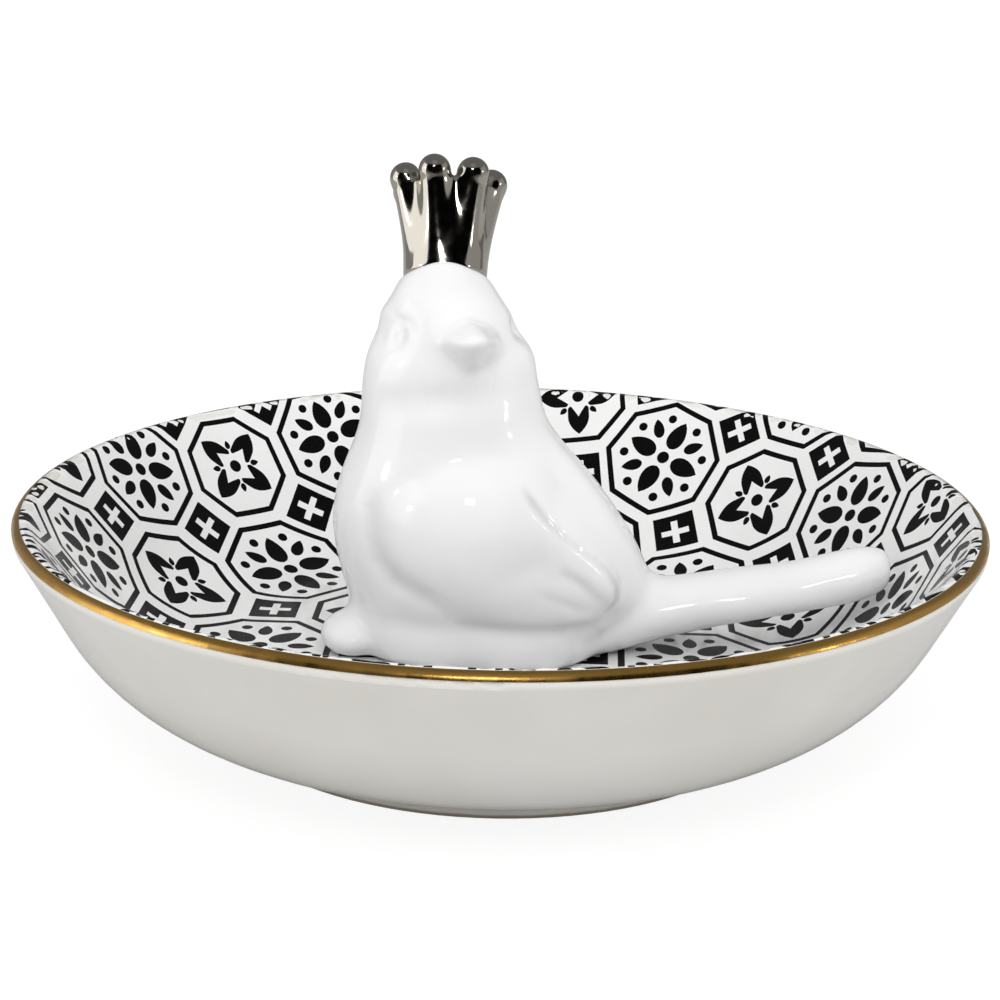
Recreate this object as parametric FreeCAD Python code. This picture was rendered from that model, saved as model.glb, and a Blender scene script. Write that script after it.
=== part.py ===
"""Ring dish: a footed porcelain bowl with a printed lining and a gilded lip.

A hollow slip-cast bird sits on the bowl's floor and wears a lustred crown, and finger rings
hang on the crown and on the bird's tail. Millimetres, +Z up, origin at the middle of the foot.
The bird's tail points along +X and its face looks towards -Y.
"""
import FreeCAD
import Part
import math
import os

V = FreeCAD.Vector
UP = V(0, 0, 1)

# Bowl
rim_radius = 63.5
dish_height = 29.0
lip_thickness = 2.6
floor_height = 7.9
floor_arc_radius = 20.8
inner_wall_slope = 52.75
outer_wall_lean = 28.0
under_slope = 24.0
under_arc_radius = 27.0
foot_radius = 36.6
foot_width = 3.2
foot_height = 1.5
foot_taper = 0.8
recess_height = 2.8
vent_diameter = 5.0

# Films fired onto the bowl
lining_thickness = 0.15
lining_end_angle = 78.0
gilding_thickness = 0.12
gilding_start_angle = 76.0
gilding_end_angle = 18.0
gilding_sectors = 24

# Bird: the middle of its base, its wall and its seams
bird_x = -1.0
bird_y = 3.0
bird_wall = 3.2
bond_thickness = 0.35
bond_inset = 0.7
bond_clearance = 0.5

# Rings of the bird's trunk: height above the base, reach to the chest, reach to the back,
# half depth and shift of the middle away from the viewer
trunk_rings = (
    (0.0, 16.5, 14.0, 11.0, 0.0),
    (4.5, 18.4, 18.6, 13.4, 0.0),
    (10.0, 20.3, 20.9, 15.6, 0.0),
    (17.5, 21.5, 17.4, 16.0, 0.2),
    (25.0, 19.9, 11.7, 14.2, 0.5),
    (31.0, 17.9, 7.0, 12.2, 0.8),
    (36.0, 17.6, 5.7, 11.5, 1.0),
    (41.5, 16.1, 3.7, 10.1, 1.2),
    (46.5, 14.2, 0.9, 8.1, 1.6),
    (50.0, 12.2, -1.5, 5.7, 2.5),
    (53.0, 9.6, -4.2, 2.6, 2.8),
)
quarter_steps = 4
cavity_rings = 8

# Rounded pad of the folded legs below the belly, in the same form
pad_rings = (
    (-2.0, 16.5, 14.0, 12.0, -0.6),
    (3.0, 18.8, 16.5, 14.2, -0.6),
    (6.6, 17.4, 15.8, 13.6, -0.6),
)

# Belly: a full rounded lobe on the viewer's side of the breast
belly_x = -2.6
belly_y = -5.6
belly_height = 18.4
belly_length = 13.6
belly_depth = 11.9
belly_rise = 12.2

# Feet: one rounded lobe of toes in front of the chest
toe_reach = 18.4
toe_shift = -3.6
toe_height = 2.2
toe_length = 4.7
toe_width = 6.0
toe_thickness = 2.8

# Tail: a blunt tapering bar that rises towards the bowl's wall
tail_root_reach = 9.0
tail_root_height = 2.3
tail_tip_height = 12.0
tail_tip_shift = -2.0
tail_wall_gap = 1.1
# Share of the way from root to tip, half width and half height of each section
tail_sections = (
    (0.0, 8.0, 5.0),
    (0.22, 6.5, 4.4),
    (0.36, 5.6, 3.9),
    (0.58, 4.9, 3.45),
    (0.80, 4.5, 3.3),
    (0.94, 4.3, 3.3),
    (1.0, 3.0, 2.3),
)

# Wings: long drops laid on the flanks, from the shoulder to the tip beside the tail
wing_shoulder = (-0.6, 24.2)
wing_tip = (16.2, 8.9)
wing_relief = 1.0
# Share of the way from shoulder to tip, half breadth and half thickness of each section
wing_sections = (
    (0.0, 1.6, 1.4),
    (0.22, 3.8, 2.5),
    (0.50, 4.7, 2.9),
    (0.78, 4.1, 2.6),
    (0.95, 2.4, 1.8),
    (1.0, 0.9, 0.8),
)

# Face: the head is turned from the viewer's side towards the tail by this angle, and the beak
# and the eyes lie this far below the head's uncut top
face_turn = 20.0
beak_drop = 10.4
beak_length = 5.2
beak_rise = 1.9
beak_root_depth = 3.4
# Share of the way from face to tip, half width and half height of each section
beak_sections = (
    (0.0, 4.2, 3.3),
    (0.5, 3.4, 2.8),
    (0.85, 2.4, 2.0),
    (1.0, 1.5, 1.2),
)
eye_drop = 9.0
eye_angle = 65.0
eye_radius = 2.5
eye_depth = 0.6

# Crown: its middle, and how far below the head's uncut top it sits
crown_x = -7.9
crown_y = 7.5
crown_seat_drop = 3.4
crown_tilt = 29.0
crown_height = 11.6
crown_wall = 1.5
crown_floor = 3.0
crown_points = 7
crown_turn = -15.0
# Share of the height, radius and flute depth of each ring
crown_rings = (
    (0.0, 5.55, 0.0),
    (0.45, 5.8, 0.06),
    (0.75, 6.2, 0.25),
    (1.0, 6.6, 0.5),
)
flute_steps = 6
knob_radius = 1.85
knob_rise = 0.8
knob_circle_radius = 5.9
crown_bond_thickness = 0.3
crown_bond_inset = 0.5

bird_base = floor_height + bond_thickness
head_top = trunk_rings[-1][0]


def polar(centre, radius, degrees):
    """Point of the XZ plane on a circle about centre."""
    angle = math.radians(degrees)
    return centre + V(radius * math.cos(angle), 0, radius * math.sin(angle))


def line(start, end):
    return Part.LineSegment(start, end).toShape()


def arc(centre, radius, first, last):
    """Arc of the XZ plane from one angle to another, in degrees."""
    middle = polar(centre, radius, (first + last) / 2)
    return Part.Arc(polar(centre, radius, first), middle, polar(centre, radius, last)).toShape()


def turned(edges, sectors=1):
    """Solid of revolution about Z from a closed run of edges in the XZ plane, in equal sectors."""
    turn = 360 / sectors
    first = Part.Face(Part.Wire(edges)).revolve(V(0, 0, 0), UP, turn)
    others = [first.rotated(V(0, 0, 0), UP, turn * i) for i in range(1, sectors)]
    return first.fuse(others) if others else first


def closed_curve(points):
    curve = Part.BSplineCurve()
    curve.interpolate(Points=points, PeriodicFlag=True)
    return Part.Wire([curve.toShape()])


def oval(centre, across, along):
    """Smooth ring spanned by two half axes about a centre, in four quarters."""
    quarter = math.pi / 2
    steps = [quarter * i / quarter_steps for i in range(quarter_steps + 1)]
    corners = [across, along, -across, -along, across]
    edges = []
    for first, last in zip(corners, corners[1:]):
        curve = Part.BSplineCurve()
        curve.interpolate(Points=[centre + first * math.cos(t) + last * math.sin(t) for t in steps],
                          InitialTangent=last * quarter, FinalTangent=-first * quarter)
        edges.append(curve.toShape())
    return Part.Wire(edges)


def loft(rings):
    return Part.makeLoft(rings, True, False)


def mix(start, end, share):
    return start + (end - start) * share


# Bowl

lip_radius = lip_thickness / 2
lip_centre = V(rim_radius - lip_radius, 0, dish_height - lip_radius)
inner_lip_angle = 90 + inner_wall_slope


def floor_arc_centre():
    """Centre of the arc that rounds the floor into the inner wall."""
    slope = math.radians(inner_wall_slope)
    lip = polar(lip_centre, lip_radius, inner_lip_angle)
    z = floor_height + floor_arc_radius
    x = lip.x - (floor_arc_radius - (z - lip.z) * math.cos(slope)) / math.sin(slope)
    return V(x, 0, z)


def inside_edges(inset, lip_end):
    """Inside of the bowl from the axis to an angle of the lip, inset towards the hollow."""
    centre = floor_arc_centre()
    radius = floor_arc_radius - inset
    floor_end = polar(centre, radius, -90)
    wall_start = polar(centre, radius, inner_wall_slope - 90)
    lip_start = polar(lip_centre, lip_radius + inset, inner_lip_angle)
    return [
        line(V(0, 0, floor_end.z), floor_end),
        arc(centre, radius, -90, inner_wall_slope - 90),
        line(wall_start, lip_start),
        arc(lip_centre, lip_radius + inset, inner_lip_angle, lip_end),
    ]


def inside_radius(z):
    """Inner radius of the bowl's wall at a height."""
    centre = floor_arc_centre()
    wall_start = polar(centre, floor_arc_radius, inner_wall_slope - 90)
    if z >= wall_start.z:
        return wall_start.x + (z - wall_start.z) / math.tan(math.radians(inner_wall_slope))
    drop = max(centre.z - z, 0)
    return centre.x + math.sqrt(max(floor_arc_radius ** 2 - drop ** 2, 0))


def under_edges():
    """Outside of the bowl from the lip down to the top of the foot."""
    lean = math.radians(outer_wall_lean)
    slope = math.radians(under_slope)
    top = polar(lip_centre, lip_radius, -outer_wall_lean)
    foot = V(foot_radius + foot_taper, 0, foot_height)
    down = V(-math.sin(lean), 0, -math.cos(lean))
    out = V(math.cos(slope), 0, math.sin(slope))
    gap = foot - top
    reach = (gap.x * out.z - gap.z * out.x) / (down.x * out.z - down.z * out.x)
    corner = top + down * reach
    turn = (90 - outer_wall_lean - under_slope) / 2
    tangent = under_arc_radius * math.tan(math.radians(turn))
    wall_end = corner - down * tangent
    under_start = corner - out * tangent
    centre = wall_end + V(-math.cos(lean), 0, math.sin(lean)) * under_arc_radius
    return [
        line(top, wall_end),
        arc(centre, under_arc_radius, -outer_wall_lean, under_slope - 90),
        line(under_start, foot),
    ]


def foot_edges():
    """Foot ring and the recess inside it, from the outside to the axis."""
    inner = foot_radius - foot_width
    corners = [
        V(foot_radius + foot_taper, 0, foot_height),
        V(foot_radius, 0, 0),
        V(inner, 0, 0),
        V(inner - foot_taper, 0, recess_height),
        V(0, 0, recess_height),
        V(0, 0, floor_height),
    ]
    return [line(a, b) for a, b in zip(corners, corners[1:])]


def dish_body():
    edges = inside_edges(0, -outer_wall_lean) + under_edges() + foot_edges()
    vent = Part.makeCylinder(vent_diameter / 2, dish_height, V(bird_x, bird_y, -1))
    return turned(edges).cut(vent)


def transfer_lining():
    """Printed film on the inside, open where the bird stands on the bare floor."""
    bare = inside_edges(0, lining_end_angle)
    face = inside_edges(lining_thickness, lining_end_angle)
    edge = line(polar(lip_centre, lip_radius, lining_end_angle),
                polar(lip_centre, lip_radius + lining_thickness, lining_end_angle))
    axis = line(V(0, 0, floor_height), V(0, 0, floor_height + lining_thickness))
    film = turned(bare + [edge] + face[::-1] + [axis])
    return film.cut(base_column(bond_clearance - bond_inset))


def rim_gilding():
    """Gold band on the outer edge of the lip, in sectors that keep so thin a ring even all round."""
    outer = lip_radius + gilding_thickness
    ends = [line(polar(lip_centre, lip_radius, angle), polar(lip_centre, outer, angle))
            for angle in (gilding_start_angle, gilding_end_angle)]
    inside = arc(lip_centre, lip_radius, gilding_start_angle, gilding_end_angle)
    outside = arc(lip_centre, outer, gilding_start_angle, gilding_end_angle)
    return turned([inside, ends[1], outside, ends[0]], gilding_sectors)


# Bird

def trunk_ring(ring, grow=0.0):
    height, chest, back, depth, shift = ring
    centre = V(bird_x + (back - chest) / 2, bird_y + shift, bird_base + height)
    return oval(centre, V((chest + back) / 2 + grow, 0, 0), V(0, depth + grow, 0))


def tail_axis():
    """Root and tip of the tail; the tip stops short of the bowl's wall."""
    tip_z = bird_base + tail_tip_height
    tip_x = inside_radius(tip_z - tail_sections[-1][2]) - tail_wall_gap
    root = V(bird_x + tail_root_reach, bird_y, bird_base + tail_root_height)
    return root, V(tip_x, bird_y + tail_tip_shift, tip_z)


def tail():
    root, tip = tail_axis()
    return loft([oval(mix(root, tip, share), V(0, width, 0), V(0, 0, height))
                 for share, width, height in tail_sections])


def trunk_at(height):
    """Middle, half length and half depth of the trunk at a height above the base."""
    upper = next(ring for ring in trunk_rings[1:] if ring[0] >= height)
    lower = trunk_rings[trunk_rings.index(upper) - 1]
    share = (height - lower[0]) / (upper[0] - lower[0])
    chest, back, depth, shift = [mix(a, b, share) for a, b in zip(lower[1:], upper[1:])]
    middle = V(bird_x + (back - chest) / 2, bird_y + shift, bird_base + height)
    return middle, (chest + back) / 2, depth


def wing(side):
    """Wing on one side (-1 the viewer's), standing out of the flank by its relief."""
    start = V(bird_x + wing_shoulder[0], 0, wing_shoulder[1])
    end = V(bird_x + wing_tip[0], 0, wing_tip[1])
    along = (end - start).normalize()
    broad = V(-along.z, 0, along.x)
    rings = []
    for share, breadth, thickness in wing_sections:
        place = mix(start, end, share)
        middle, length, depth = trunk_at(place.z)
        flank = depth * math.sqrt(max(1 - ((place.x - middle.x) / length) ** 2, 0))
        y = middle.y + side * (flank + wing_relief - thickness)
        centre = V(place.x, y, middle.z)
        rings.append(oval(centre, broad * breadth, V(0, thickness, 0)))
    return loft(rings)


def lobe(x, y, height, half_axes):
    """Rounded lobe about a place given from the middle of the bird's base."""
    grow = FreeCAD.Matrix()
    grow.scale(half_axes)
    grow.move(V(bird_x + x, bird_y + y, bird_base + height))
    return Part.makeSphere(1.0).transformGeometry(grow)


def belly():
    return lobe(belly_x, belly_y, belly_height, V(belly_length, belly_depth, belly_rise))


def toes():
    return lobe(-toe_reach, toe_shift, toe_height, V(toe_length, toe_width, toe_thickness))


def head_point(height, angle, out=0.0):
    """Point on the head's skin, at an angle from the viewer's side towards the tail."""
    middle, length, depth = trunk_at(height)
    turn = math.radians(angle)
    reach = 1 / math.hypot(math.sin(turn) / length, math.cos(turn) / depth) + out
    return middle + V(math.sin(turn), -math.cos(turn), 0) * reach


def beak():
    """Blunt beak, rooted inside the head."""
    turn = math.radians(face_turn)
    wide = V(math.cos(turn), math.sin(turn), 0)
    height = head_top - beak_drop
    root = head_point(height, face_turn, -beak_root_depth)
    face = head_point(height, face_turn)
    tip = head_point(height, face_turn, beak_length) + UP * beak_rise
    places = [root] + [mix(face, tip, share) for share, width, height in beak_sections]
    sizes = beak_sections[:1] + beak_sections
    return loft([oval(place, wide * size[1], UP * size[2]) for place, size in zip(places, sizes)])


def eye(side):
    """Ball that presses one eye's dent into the head."""
    centre = head_point(head_top - eye_drop, face_turn + side * eye_angle, eye_radius - eye_depth)
    return Part.makeSphere(eye_radius, centre)


def base_column(grow):
    """Column that stands on the floor round the bond under the bird's base."""
    column = Part.Face(trunk_ring(trunk_rings[0], grow)).extrude(UP * bond_thickness)
    column.translate(V(0, 0, -bond_thickness))
    return column


def crown_placement(rise):
    """Place of the crown's own frame, raised along its axis from its underside."""
    turn = FreeCAD.Rotation(V(1, 0, 0), -crown_tilt)
    seat = V(crown_x, crown_y, bird_base + head_top - crown_seat_drop)
    return FreeCAD.Placement(seat + turn.multVec(UP * rise), turn)


def crown_seat():
    """Block that cuts the head flat below the crown."""
    block = Part.makeBox(2 * rim_radius, 2 * rim_radius, rim_radius, V(-rim_radius, -rim_radius, 0))
    block.Placement = crown_placement(-crown_bond_thickness)
    return block


def bird_body():
    skin = loft([trunk_ring(ring) for ring in trunk_rings])
    pad = loft([trunk_ring(ring) for ring in pad_rings])
    solid = skin
    for form in (pad, belly(), tail(), beak(), toes(), wing(-1), wing(1)):
        solid = solid.fuse(form)
    cavity = loft([trunk_ring(ring, -bird_wall) for ring in trunk_rings[:cavity_rings]])
    below = Part.makeBox(2 * rim_radius, 2 * rim_radius, bird_base, V(-rim_radius, -rim_radius, 0))
    return solid.cut([cavity, below, eye(-1), eye(1), crown_seat()])


def bird_bond():
    """Bed of fired slip that holds the bird's base on the floor."""
    return base_column(-bond_inset).cut(base_column(-bird_wall))


# Crown

def fluted_ring(radius, height, depth):
    """Ring with one soft flute between each pair of points."""
    points = []
    for i in range(flute_steps * crown_points):
        angle = 2 * math.pi * i / (flute_steps * crown_points)
        reach = radius + depth * math.cos(crown_points * angle)
        points.append(V(reach * math.sin(angle), -reach * math.cos(angle), height))
    return closed_curve(points)


def crown():
    """Hollow fluted cup with a round knob on each point, leaning back on the head."""
    cup = loft([fluted_ring(radius, share * crown_height, depth) for share, radius, depth in crown_rings])
    knobs = []
    for i in range(crown_points):
        angle = 2 * math.pi * i / crown_points
        place = V(math.sin(angle), -math.cos(angle), 0) * knob_circle_radius + UP * (crown_height + knob_rise)
        knobs.append(Part.makeSphere(knob_radius, place))
    hollow = Part.makeCone(crown_rings[0][1] - crown_wall, crown_rings[-1][1] - crown_wall,
                           crown_height - crown_floor + knob_rise + knob_radius, V(0, 0, crown_floor))
    body = cup.fuse(knobs).cut(hollow)
    body.rotate(V(0, 0, 0), UP, crown_turn)
    body.Placement = crown_placement(0).multiply(body.Placement)
    return body


def crown_bond():
    """Bed of fired slip between the head and the crown."""
    bed = Part.makeCylinder(crown_rings[0][1] - crown_bond_inset, crown_bond_thickness)
    bed.Placement = crown_placement(-crown_bond_thickness)
    return bed


os.makedirs("parts", exist_ok=True)
for build in (dish_body, transfer_lining, rim_gilding, bird_bond, bird_body, crown_bond, crown):
    piece = build()
    piece.exportStep("parts/" + build.__name__ + ".step")
    print(build.__name__, piece.isValid(), len(piece.Solids), round(piece.Volume, 1))
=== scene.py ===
"""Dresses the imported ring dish: porcelain, printed tiles, gilding, the bird, its crown and the stage."""
import math

import bpy
import numpy as np
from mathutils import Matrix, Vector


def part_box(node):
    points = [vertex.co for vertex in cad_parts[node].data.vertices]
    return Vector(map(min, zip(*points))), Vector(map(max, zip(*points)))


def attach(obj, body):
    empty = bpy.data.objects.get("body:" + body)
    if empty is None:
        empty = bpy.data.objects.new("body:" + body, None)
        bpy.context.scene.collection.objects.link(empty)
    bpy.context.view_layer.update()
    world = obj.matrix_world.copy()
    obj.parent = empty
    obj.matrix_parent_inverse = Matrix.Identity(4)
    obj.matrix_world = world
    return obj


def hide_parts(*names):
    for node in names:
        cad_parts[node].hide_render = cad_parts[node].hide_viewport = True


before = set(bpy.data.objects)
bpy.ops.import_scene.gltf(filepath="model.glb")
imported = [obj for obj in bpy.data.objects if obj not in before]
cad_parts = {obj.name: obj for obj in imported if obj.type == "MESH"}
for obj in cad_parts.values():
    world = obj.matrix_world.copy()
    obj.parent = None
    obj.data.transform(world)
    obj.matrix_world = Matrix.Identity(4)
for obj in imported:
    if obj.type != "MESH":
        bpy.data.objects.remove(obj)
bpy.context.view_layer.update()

import openvdb
from mathutils import Quaternion, Vector
from mathutils.geometry import delaunay_2d_cdt

bl_info = {
    "name": "Ring dish",
    "version": (1, 0, 0),
    "blender": (4, 5, 0),
    "location": "View3D > Sidebar > Ring dish",
    "description": "Dresses the packed ring dish and sets its stage",
    "category": "Object",
}

MM = 0.001
RIM_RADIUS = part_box("dish_body")[1].x
RIM_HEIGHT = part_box("dish_body")[1].z


def linear(hex_colour):
    """Linear colour of an sRGB hex value such as "F2F0EC"."""
    channels = [int(hex_colour[i:i + 2], 16) / 255 for i in (0, 2, 4)]
    return tuple(c / 12.92 if c <= 0.04045 else ((c + 0.055) / 1.055) ** 2.4 for c in channels)


def number(name, description, default, **kind):
    """A property that holds a number."""
    return bpy.props.FloatProperty(name=name, description=description, default=default, **kind)


def length(name, description, millimetres):
    """A length property whose default is given in millimetres."""
    return number(name, description, millimetres * MM, unit="LENGTH", precision=5)


def angle(name, description, degrees):
    """An angle property whose default is given in degrees."""
    return number(name, description, math.radians(degrees), unit="ROTATION", subtype="ANGLE")


def colour(name, description, hex_colour):
    """A colour property whose default is given as an sRGB hex value."""
    return bpy.props.FloatVectorProperty(name=name, description=description, default=linear(hex_colour),
                                         subtype="COLOR", size=3, min=0, max=1)


def share(name, description, default):
    """A property between nought and one."""
    return number(name, description, default, subtype="FACTOR", min=0, max=1)


def power(name, description, watts):
    """The power of a small lamp."""
    return number(name, description, watts, unit="POWER", min=0)


def strength(name, description, default):
    """The strength of a soft light."""
    return number(name, description, default, min=0)


class BowlSizes(bpy.types.PropertyGroup):
    """Inside of the bowl, as the solids have it."""

    floor_height: length("Floor height", "Top of the bowl's floor above the table", 7.9)
    floor_arc: length("Floor arc", "Radius that rounds the floor into the wall", 20.8)
    wall_slope: angle("Wall slope", "Slope of the inner wall above the arc", 52.75)
    lip_thickness: length("Lip thickness", "Thickness of the rounded lip", 2.6)
    foot_bare: length("Bare foot", "Height of the unglazed edge of the foot ring", 0.55)


class PrintSizes(bpy.types.PropertyGroup):
    """Octagon-and-square tiles printed on the lining."""

    pitch: length("Pitch", "Distance between the middles of neighbouring octagons", 20.746)
    turn: angle("Turn", "Turn of the rows of tiles about the bowl's axis", -47.25)
    start: bpy.props.FloatVectorProperty(
        name="Start", description="Middle of one petal tile on the flat sheet", size=2,
        default=(28.355 * MM, 56.504 * MM), unit="LENGTH", precision=5)
    stretch: share("Stretch", "How much the sheet is pressed together at 60 mm from its middle", 0.031)
    lift: length("Lift", "Height of the lining's underside above the bowl", 0.02)
    film: length("Film", "Height of the lining's printed face above the bowl", 0.15)
    line: length("Line", "Breadth of an octagon's line", 0.95)
    petal_octagon: length("Petal octagon", "From the middle of a petal tile to the middle of its line", 9.5)
    leaf_octagon: length("Leaf octagon", "From the middle of a leaf tile to the middle of its line", 8.42)
    flower: length("Flower", "Size that the petals, leaves and dots are drawn to", 9.6)
    square: length("Square", "Side of a black square", 6.8)
    cross_length: length("Cross length", "Length of the white cross in a square", 4.55)
    cross_breadth: length("Cross breadth", "Breadth of the arms of the cross", 1.1)
    step: length("Step", "Longest edge of the sheet's triangles on the curved wall", 1.3)
    lip_end: angle("Lip end", "Angle of the lip at which the lining meets the gold", 78)
    bond_gap: length("Bond gap", "Bare floor round the bond under the bird", 0.5)


class BirdSizes(bpy.types.PropertyGroup):
    """Modelling of the bird's cast skin under the glaze."""

    grain: length("Grain", "Size of the cells that the skin is worked out in", 0.28)
    reach: length("Reach", "Depth to which the skin's distance is known", 3.5)
    soften: length("Soften", "Breadth of the rounding that the glaze gives", 0.56)
    fillet: length("Fillet", "Breadth of the rounding where the back runs into the tail", 2.2)
    hollow: length("Hollow", "Breadth of the rounding where the belly runs into the pad and the wings", 4.5)
    beak_merge: length("Beak merge", "Breadth of the rounding where the beak runs into the face", 1.0)
    beak_smooth: length("Beak smooth", "Breadth of the smoothing beside the beak", 1.4)


class CrownSizes(bpy.types.PropertyGroup):
    """Modelling of the crown's cast skin under the lustre."""

    grain: length("Grain", "Size of the cells that the skin is worked out in", 0.14)
    reach: length("Reach", "Depth to which the skin's distance is known", 1.4)
    soften: length("Soften", "Breadth of the rounding that the glaze gives", 0.22)
    points: bpy.props.IntProperty(name="Points", description="Points round the crown", default=7)
    turn: angle("Turn", "Turn of the points about the crown's axis", -15)
    merge: length("Merge", "Breadth of the rounding where a column runs into the wall", 1.4)
    cuff: length("Cuff", "Half height of the lustre that runs over the seam at the crown's foot", 0.9)


class Colours(bpy.types.PropertyGroup):
    """Colours of the finishes."""

    bird: colour("Bird", "Glazed white of the bird", "FAFAFB")
    bird_pool: colour("Bird pools", "The bird's glaze where it lies thicker", "F4F4F5")
    # Painted shade: a grey laid into the bird's creases to darken them as shade would
    bird_crease_shade: colour("Bird creases", "The bird's glaze where it fills a crease", "CBCBCD")
    bowl: colour("Bowl", "Glazed white of the bowl", "F1EFEA")
    bowl_pool: colour("Bowl pools", "The bowl's glaze where it lies thicker", "EBE8E1")
    transfer: colour("Transfer white", "White between the printed lines", "FAFAF9")
    transfer_pool: colour("Transfer pools", "The transfer's white where the glaze lies thicker", "F5F5F4")
    ink: colour("Ink", "Black ceramic ink", "070708")
    gold: colour("Gold", "Fired gold", "CB9E52")
    platinum: colour("Platinum", "Platinum lustre", "B7B2A8")
    bisque: colour("Bisque", "Unglazed foot", "A79C90")
    slip: colour("Slip", "Fired slip of the joints", "DAD6CE")
    floor: colour("Floor", "Floor of the stage as it lights the object", "CECECE")


class StageSizes(bpy.types.PropertyGroup):
    """Camera and lights."""

    camera_distance: length("Distance", "From the camera to the point it looks at", 296.62)
    camera_elevation: angle("Elevation", "Height of the camera above the horizon", 16.71)
    camera_roll: angle("Roll", "Turn of the camera about its own line of sight", 1.0)
    camera_lens: number("Lens", "Focal length in millimetres", 80.6, subtype="DISTANCE_CAMERA")
    aim_x: length("Aim X", "Point that the camera looks at, across", -0.133)
    aim_z: length("Aim Z", "Point that the camera looks at, upwards", 29.13)
    sky: share("Sky", "Brightness of the surroundings on the object", 0.49)
    room: share("Room", "Brightness of the surroundings in reflections", 0.22)
    key: strength("Key lights", "Each of the two soft lights at the sides", 0.62)
    top: strength("Top light", "Soft light from above", 0.87)
    front: strength("Front lights", "Each of the two soft lights in front", 0.185)
    strip: power("Strips", "Each of the two small lamps at the sides", 0.07)
    spot: power("Spot", "Small lamp above the camera that gives the glaze its sparkle", 0.48)
    floor_glow: share("Floor glow", "Share of the floor's own white that the camera sees", 0.7)


class RingDishSettings(bpy.types.PropertyGroup):
    """All sizes and colours of the ring dish."""

    bowl: bpy.props.PointerProperty(type=BowlSizes)
    tiles: bpy.props.PointerProperty(type=PrintSizes)
    bird: bpy.props.PointerProperty(type=BirdSizes)
    crown: bpy.props.PointerProperty(type=CrownSizes)
    colours: bpy.props.PointerProperty(type=Colours)
    stage: bpy.props.PointerProperty(type=StageSizes)


# Materials

def add(tree, kind, inputs=None, **settings):
    """Adds a node with its settings; an input is a value or another node's output."""
    node = tree.nodes.new(kind)
    for name, value in settings.items():
        setattr(node, name, value)
    for name, value in (inputs or {}).items():
        if isinstance(value, bpy.types.NodeSocket):
            tree.links.new(value, node.inputs[name])
        else:
            node.inputs[name].default_value = value
    return node


def surface(name, **inputs):
    """New material with one Principled surface; returns the material, its nodes and the shader."""
    material = bpy.data.materials.new(name)
    material.use_nodes = True
    tree = material.node_tree
    tree.nodes.clear()
    shader = add(tree, "ShaderNodeBsdfPrincipled", {k.replace("_", " "): v for k, v in inputs.items()})
    add(tree, "ShaderNodeOutputMaterial", {"Surface": shader.outputs[0]})
    return material, tree, shader


def rgba(colour_value):
    """Opaque colour."""
    return (*colour_value, 1.0)


def noise(tree, size, detail=2.0):
    """Values of a noise that stays with the object; size is the width of its lumps."""
    place = add(tree, "ShaderNodeTexCoord")
    lumps = {"Vector": place.outputs["Object"], "Scale": 1 / size, "Detail": detail}
    return add(tree, "ShaderNodeTexNoise", lumps).outputs[0]


def ripple(tree, shader, size, depth):
    """Gentle waves of a given size and depth on a glazed surface."""
    waves = noise(tree, size, 1.0)
    bump = add(tree, "ShaderNodeBump", {"Height": waves, "Distance": depth, "Strength": 1.0})
    tree.links.new(bump.outputs[0], shader.inputs["Normal"])


def uneven(tree, shader, size, detail, values, roughness):
    """Roughness that changes from place to place; values of the noise are spread over the roughness."""
    dull = add(tree, "ShaderNodeMapRange", {"Value": noise(tree, size, detail), "From Min": values[0],
                                           "From Max": values[1], "To Min": roughness[0],
                                           "To Max": roughness[1]})
    tree.links.new(dull.outputs[0], shader.inputs["Roughness"])


def ramp(tree, value, low, high):
    """Colour that runs from a low to a high stop; each stop is a value and its colour."""
    node = add(tree, "ShaderNodeValToRGB", {"Fac": value})
    for element, (position, stop_colour) in zip(node.color_ramp.elements, (low, high)):
        element.position = position
        element.color = rgba(stop_colour)
    return node.outputs[0]


def glaze_colour(tree, white, pool, pool_size):
    """White that changes slightly where the glaze pools; pool_size is the width of a pool."""
    return ramp(tree, noise(tree, pool_size), (0.35, pool), (0.65, white))


def porcelain(colours):
    """Hard porcelain under a clear glaze: bright white, with painted shade that greys its creases, and sharp
    reflections.
    """
    material, tree, shader = surface("glazed porcelain", Roughness=0.07, IOR=1.5, Specular_IOR_Level=0.35)
    painted_shade = add(tree, "ShaderNodeAttribute", attribute_name="painted_crease_shade")
    glaze = glaze_colour(tree, colours.bird, colours.bird_pool, 14 * MM)
    # Painted shade: the bird's white is mixed towards the crease grey along its creases
    mixed = add(tree, "ShaderNodeMix", {"Factor": painted_shade.outputs["Fac"], "A": glaze,
                                       "B": rgba(colours.bird_crease_shade)}, data_type="RGBA")
    tree.links.new(mixed.outputs[2], shader.inputs["Base Color"])
    ripple(tree, shader, 4 * MM, 0.012 * MM)
    return material


def footed_porcelain(colours, bare):
    """The bowl's porcelain: glazed above, and dull biscuit on the wiped edge of the foot."""
    material, tree, shader = surface("glazed porcelain with a bare foot", IOR=1.5)
    place = add(tree, "ShaderNodeTexCoord")
    height = add(tree, "ShaderNodeSeparateXYZ", {"Vector": place.outputs["Object"]})
    edge = 0.3 * MM
    wander = add(tree, "ShaderNodeMath", {0: noise(tree, 1.5 * MM), 1: edge, 2: height.outputs["Z"]},
                 operation="MULTIPLY_ADD")
    glazed = add(tree, "ShaderNodeMapRange", {"Value": wander.outputs[0], "From Min": bare,
                                             "From Max": bare + edge})
    glaze = glaze_colour(tree, colours.bowl, colours.bowl_pool, 18 * MM)
    mixed = add(tree, "ShaderNodeMix", {"Factor": glazed.outputs[0], "A": rgba(colours.bisque), "B": glaze},
                data_type="RGBA")
    dull = add(tree, "ShaderNodeMapRange", {"Value": glazed.outputs[0], "To Min": 0.85, "To Max": 0.07})
    tree.links.new(mixed.outputs[2], shader.inputs["Base Color"])
    tree.links.new(dull.outputs[0], shader.inputs["Roughness"])
    ripple(tree, shader, 4 * MM, 0.012 * MM)
    return material


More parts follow.
